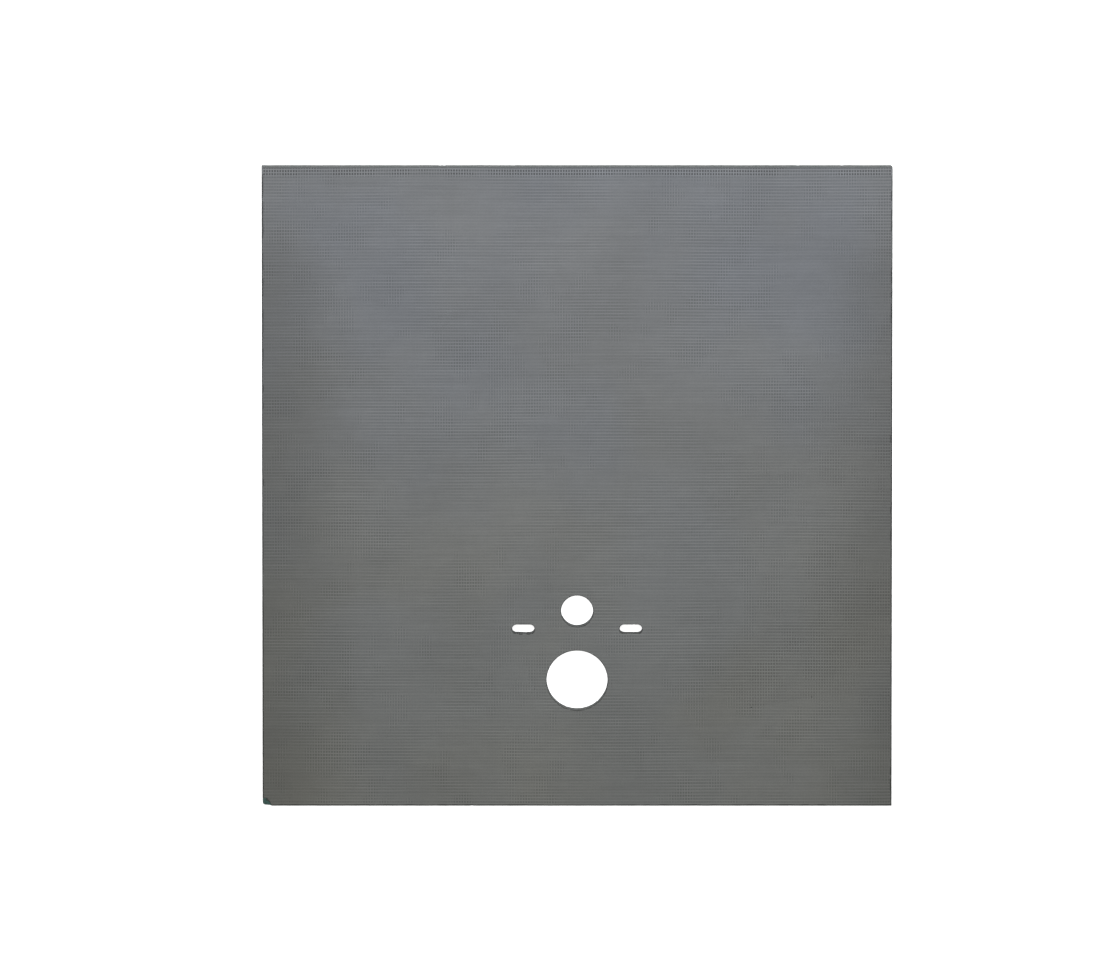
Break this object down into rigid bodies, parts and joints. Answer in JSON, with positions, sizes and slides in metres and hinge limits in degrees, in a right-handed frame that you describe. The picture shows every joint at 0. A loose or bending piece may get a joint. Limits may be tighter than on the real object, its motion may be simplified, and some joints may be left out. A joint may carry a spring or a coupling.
{
  "type": "toilet frame cladding board",
  "caption": "Flat tile backer sheet of coated hard foam that covers a wall-hung toilet's frame, cut out for the waste pipe, flush pipe and fixing studs.",
  "frame": {"origin": "middle of the back face, halfway across and halfway up the sheet", "axes": "+X across the sheet towards its right edge, +Y from its bottom edge towards its top edge, +Z out of the tile face"},
  "size_m": [1.2, 1.245, 0.02],
  "materials": {
    "cement_coating": "matt grey cement with the reinforcing mesh showing through"
  },
  "bodies": {
    "root": {"cladding_board": "cement_coating"}
  },
  "joints": []
}
